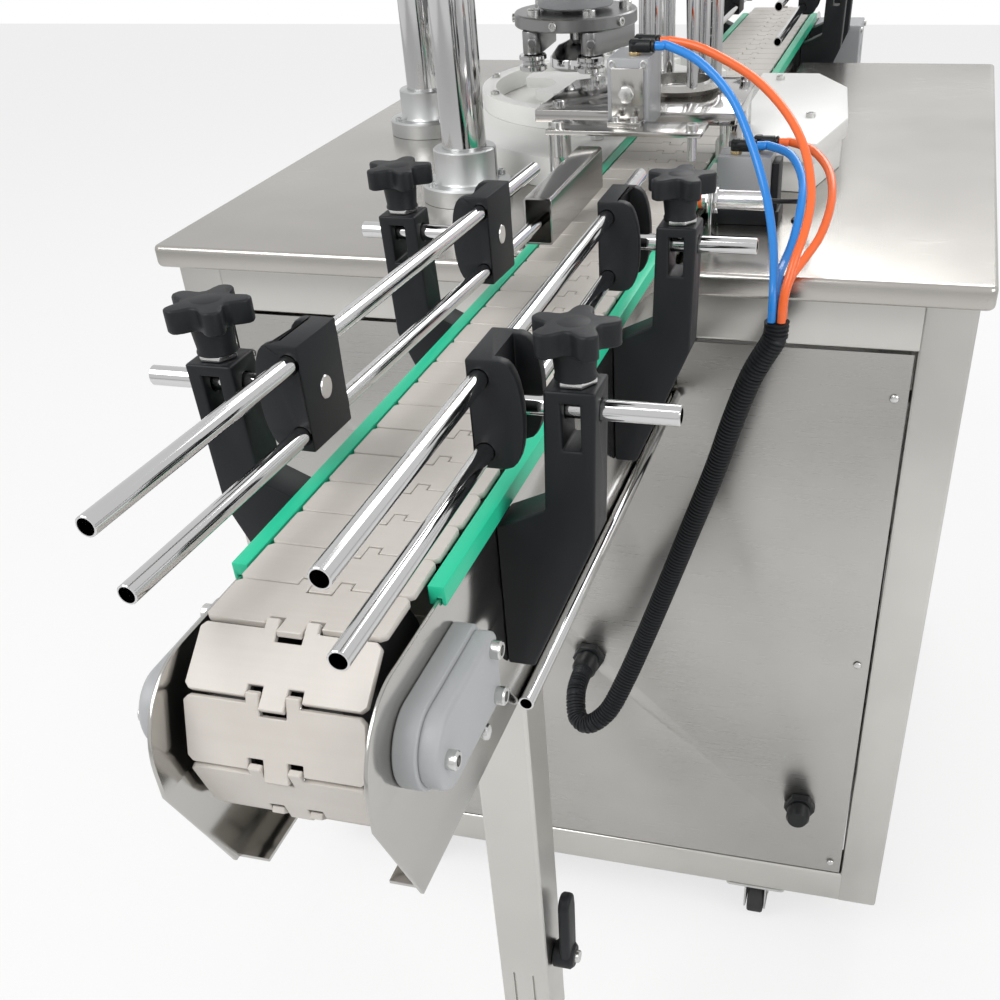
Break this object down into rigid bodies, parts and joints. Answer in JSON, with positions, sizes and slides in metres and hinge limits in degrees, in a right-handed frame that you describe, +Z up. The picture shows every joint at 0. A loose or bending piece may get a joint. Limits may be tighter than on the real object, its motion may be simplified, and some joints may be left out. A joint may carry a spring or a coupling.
{
  "type": "can sealing machine",
  "caption": "Can sealing machine: slat chain conveyor through a stainless cabinet, star wheel, lid feed and seaming head on pillars.",
  "frame": {"origin": "on the floor, under the middle of the bounding box", "axes": "+Z up, +Y along the conveyor from the infeed end to the outfeed end, +X to the right seen from the infeed end"},
  "size_m": [0.842, 2.1, 1.7203],
  "materials": {
    "stainless": "fine brushed",
    "polished_steel": "polished",
    "chrome_parts": "bright",
    "cast_metal": "cast, satin",
    "black_moulded": "satin moulded",
    "black_cable": "satin",
    "rubber_tread": "matte",
    "chain_plastic": "satin",
    "green_strip": "satin",
    "white_plastic": "machined",
    "orange_tube": "glossy",
    "blue_tube": "glossy"
  },
  "bodies": {
    "machine": {"air_tube_blue_lid": "blue_tube", "air_tube_blue_stop": "blue_tube", "air_tube_orange_lid": "orange_tube", "air_tube_orange_stop": "orange_tube", "cabinet_frame": "stainless", "can_sensor": "chrome_parts", "conduit": "black_cable", "conduit_gland": "black_moulded", "conveyor_frame": "polished_steel", "drive_gearmotor": "cast_metal", "front_panel": "stainless", "guide_block": "white_plastic", "head_frame": "chrome_parts", "infeed_bracket_far_left": "black_moulded", "infeed_bracket_far_right": "black_moulded", "infeed_bracket_near_left": "black_moulded", "infeed_bracket_near_right": "black_moulded", "leg_tube": "stainless", "lid_plate": "polished_steel", "outfeed_guide_left": "chrome_parts", "outfeed_guide_right": "chrome_parts", "sensor_cable": "black_cable", "slat_chain": "chain_plastic", "star_drive": "cast_metal", "stop_cylinder": "cast_metal", "table_left": "stainless", "table_right": "stainless", "tail_housing_left": "cast_metal", "tail_housing_right": "cast_metal", "wear_plate": "white_plastic", "wear_strip_left": "green_strip", "wear_strip_right": "green_strip"},
    "caster_left": {"caster_fork_left": "stainless"},
    "caster_right": {"caster_fork_right": "stainless"},
    "front_wheel_left": {"caster_wheel_left": "rubber_tread"},
    "front_wheel_right": {"caster_wheel_right": "rubber_tread"},
    "rear_wheel_left": {"rear_wheel_left": "rubber_tread"},
    "rear_wheel_right": {"rear_wheel_right": "rubber_tread"},
    "drive_shaft": {"drive_sprockets": "white_plastic"},
    "tail_shaft": {"tail_wheels": "white_plastic"},
    "leg_inner": {"leg_inner_tube": "stainless"},
    "leg_lever": {"leg_clamp_lever": "black_moulded"},
    "knob_near_left": {"knob_near_left": "black_moulded"},
    "knob_near_right": {"knob_near_right": "black_moulded"},
    "knob_far_left": {"knob_far_left": "black_moulded"},
    "knob_far_right": {"knob_far_right": "black_moulded"},
    "guide_left": {"infeed_guide_left": "chrome_parts", "box_rail": "polished_steel"},
    "guide_right": {"infeed_guide_right": "chrome_parts"},
    "star": {"star_wheel": "white_plastic"},
    "can_lifter": {"lift_disc": "chrome_parts"},
    "lid_feed": {"lid_yoke": "polished_steel"},
    "can_stop": {"can_stop": "white_plastic"},
    "carriage": {"head_carriage": "stainless"},
    "rotor": {"seaming_rotor": "black_moulded"},
    "arm_first": {"roller_arm_first": "stainless"},
    "arm_second": {"roller_arm_second": "stainless"},
    "roller_first": {"roller_first": "chrome_parts"},
    "roller_second": {"roller_second": "chrome_parts"},
    "screw": {"height_screw": "chrome_parts"}
  },
  "joints": [
    {"name": "caster_left_swivel", "type": "hinge", "parent": "machine", "child": "caster_left", "pos_m": [-0.25, -0.275, 0.0725], "axis": [0, 0, 1], "continuous": true},
    {"name": "front_wheel_left_roll", "type": "hinge", "parent": "caster_left", "child": "front_wheel_left", "pos_m": [-0.25, -0.257, 0.0325], "axis": [1, 0, 0], "continuous": true},
    {"name": "rear_wheel_left_roll", "type": "hinge", "parent": "machine", "child": "rear_wheel_left", "pos_m": [-0.25, 0.62, 0.0325], "axis": [1, 0, 0], "continuous": true},
    {"name": "caster_right_swivel", "type": "hinge", "parent": "machine", "child": "caster_right", "pos_m": [0.25, -0.275, 0.0725], "axis": [0, 0, 1], "continuous": true},
    {"name": "front_wheel_right_roll", "type": "hinge", "parent": "caster_right", "child": "front_wheel_right", "pos_m": [0.25, -0.257, 0.0325], "axis": [1, 0, 0], "continuous": true},
    {"name": "rear_wheel_right_roll", "type": "hinge", "parent": "machine", "child": "rear_wheel_right", "pos_m": [0.25, 0.62, 0.0325], "axis": [1, 0, 0], "continuous": true},
    {"name": "drive_spin", "type": "hinge", "parent": "machine", "child": "drive_shaft", "pos_m": [0.065, 0.945, 0.87737], "axis": [1, 0, 0], "continuous": true},
    {"name": "tail_spin", "type": "hinge", "parent": "machine", "child": "tail_shaft", "pos_m": [0.065, -0.96, 0.87737], "axis": [1, 0, 0], "continuous": true},
    {"name": "leg_extend", "type": "slide", "parent": "machine", "child": "leg_inner", "axis": [0, 0, 1], "range_m": [-0.05, 0.08]},
    {"name": "lever_turn", "type": "hinge", "parent": "machine", "child": "leg_lever", "pos_m": [0.0903, -0.687, 0.352], "axis": [1, 0, 0], "range_deg": [-90, 90]},
    {"name": "knob_near_left_turn", "type": "hinge", "parent": "machine", "child": "knob_near_left", "pos_m": [-0.045, -0.82, 1.012], "axis": [0, 0, 1], "continuous": true},
    {"name": "knob_near_right_turn", "type": "hinge", "parent": "machine", "child": "knob_near_right", "pos_m": [0.175, -0.82, 1.012], "axis": [0, 0, 1], "continuous": true},
    {"name": "knob_far_left_turn", "type": "hinge", "parent": "machine", "child": "knob_far_left", "pos_m": [-0.045, -0.525, 1.012], "axis": [0, 0, 1], "continuous": true},
    {"name": "knob_far_right_turn", "type": "hinge", "parent": "machine", "child": "knob_far_right", "pos_m": [0.175, -0.525, 1.012], "axis": [0, 0, 1], "continuous": true},
    {"name": "guide_left_slide", "type": "slide", "parent": "machine", "child": "guide_left", "axis": [1, 0, 0], "range_m": [-0.012, 0.01]},
    {"name": "guide_right_slide", "type": "slide", "parent": "machine", "child": "guide_right", "axis": [1, 0, 0], "range_m": [-0.02, 0.006]},
    {"name": "star_spin", "type": "hinge", "parent": "machine", "child": "star", "pos_m": [-0.047, 0.24, 0.954], "axis": [0, 0, 1], "continuous": true},
    {"name": "lifter_rise", "type": "slide", "parent": "machine", "child": "can_lifter", "axis": [0, 0, 1], "range_m": [0, 0.012]},
    {"name": "lid_feed_push", "type": "slide", "parent": "machine", "child": "lid_feed", "axis": [0, -1, 0], "range_m": [0, 0.03]},
    {"name": "can_stop_push", "type": "slide", "parent": "machine", "child": "can_stop", "axis": [-1, 0, 0], "range_m": [0, 0.02]},
    {"name": "carriage_slide", "type": "slide", "parent": "machine", "child": "carriage", "axis": [0, 0, 1], "range_m": [-0.01, 0.06]},
    {"name": "rotor_spin", "type": "hinge", "parent": "carriage", "child": "rotor", "pos_m": [-0.07593, 0.11326, 1.044], "axis": [0, 0, 1], "continuous": true},
    {"name": "arm_first_turn", "type": "hinge", "parent": "rotor", "child": "arm_first", "pos_m": [-0.12356, 0.14076, 1.02], "axis": [0, 0, 1], "range_deg": [-4, 4]},
    {"name": "roller_first_spin", "type": "hinge", "parent": "arm_first", "child": "roller_first", "pos_m": [-0.1166, 0.06647, 1.003], "axis": [0, 0, 1], "continuous": true},
    {"name": "arm_second_turn", "type": "hinge", "parent": "rotor", "child": "arm_second", "pos_m": [-0.02362, 0.13026, 1.02], "axis": [0, 0, 1], "range_deg": [-4, 4]},
    {"name": "roller_second_spin", "type": "hinge", "parent": "arm_second", "child": "roller_second", "pos_m": [-0.04493, 0.05957, 1.003], "axis": [0, 0, 1], "continuous": true},
    {"name": "screw_turn", "type": "hinge", "parent": "machine", "child": "screw", "pos_m": [-0.19, 0.22, 1.62], "axis": [0, 0, 1], "range_deg": [-360, 2160]}
  ],
  "couplings": [
    {"joint": "tail_spin", "follows": "drive_spin", "ratio": 1},
    {"joint": "arm_second_turn", "follows": "arm_first_turn", "ratio": -1},
    {"joint": "screw_turn", "follows": "carriage_slide", "rad_per_m": 628.32}
  ]
}
